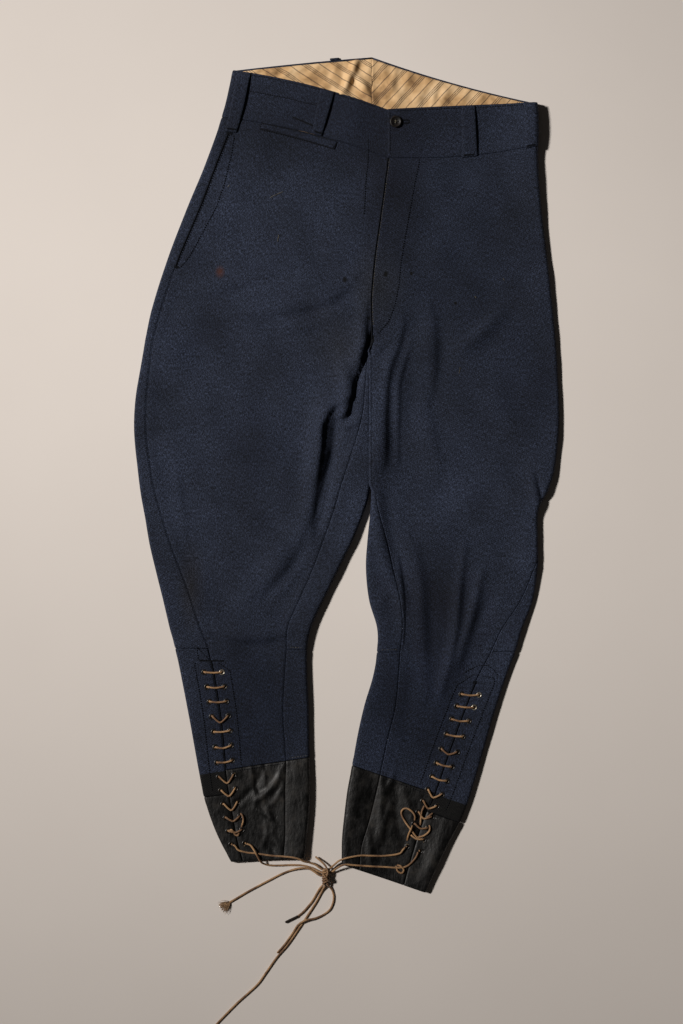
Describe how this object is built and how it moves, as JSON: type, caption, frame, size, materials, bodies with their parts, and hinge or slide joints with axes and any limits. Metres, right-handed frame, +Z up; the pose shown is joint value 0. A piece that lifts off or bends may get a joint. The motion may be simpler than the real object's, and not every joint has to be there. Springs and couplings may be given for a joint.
{
  "type": "riding breeches",
  "caption": "Navy wool twill riding breeches laid flat, with wide thighs, laced calves, polished black cuffs and a striped lining at the waist.",
  "frame": {"origin": "on the surface that the breeches lie on, under the middle of their outline without the laces", "axes": "+Z up off the surface, +Y towards the waist, +X towards the wearer's left leg"},
  "size_m": [0.5315, 1.2138, 0.0177],
  "materials": {
    "twill": "napped wool twill, heathered navy, almost without sheen",
    "cuff_leather": "black glazed leather, soft shine with fine scuffs",
    "striped_lining": "cream cotton twill with thin dark brown stripes, creased",
    "horn": "dark polished horn button",
    "waxed_lace": "braided brown cotton lace, slightly waxed",
    "aglet_tin": "dark lacquered tin lace end",
    "eyelet_brass": "worn brass eyelets, some brightened to silver"
  },
  "bodies": {
    "root": {"back_calf_left": "twill", "back_calf_right": "twill", "back_left": "twill", "back_right": "twill", "belt_loop_back": "twill", "belt_loop_left_front": "twill", "belt_loop_left_side": "twill", "belt_loop_right_front": "twill", "belt_loop_right_side": "twill", "cuff_back_left": "cuff_leather", "cuff_back_right": "cuff_leather", "cuff_front_left": "cuff_leather", "cuff_front_right": "cuff_leather", "front_left": "twill", "front_right": "twill", "lace_aglet": "aglet_tin", "lace_end_frayed": "waxed_lace", "lace_end_long": "waxed_lace", "lace_end_short": "waxed_lace", "lace_end_tipped": "waxed_lace", "lace_knot": "waxed_lace", "lace_tail_left_lower": "waxed_lace", "lace_tail_left_upper": "waxed_lace", "lace_tail_right_a": "waxed_lace", "lace_tail_right_b": "waxed_lace", "lace_tuft": "waxed_lace", "lacing_left": "waxed_lace", "lacing_right": "waxed_lace", "lining_back_left": "striped_lining", "lining_back_right": "striped_lining", "waist_button": "horn", "waistband_back_left": "twill", "waistband_back_right": "twill", "waistband_front_left": "twill", "waistband_front_right": "twill", "watch_pocket_welt": "twill"}
  },
  "joints": []
}
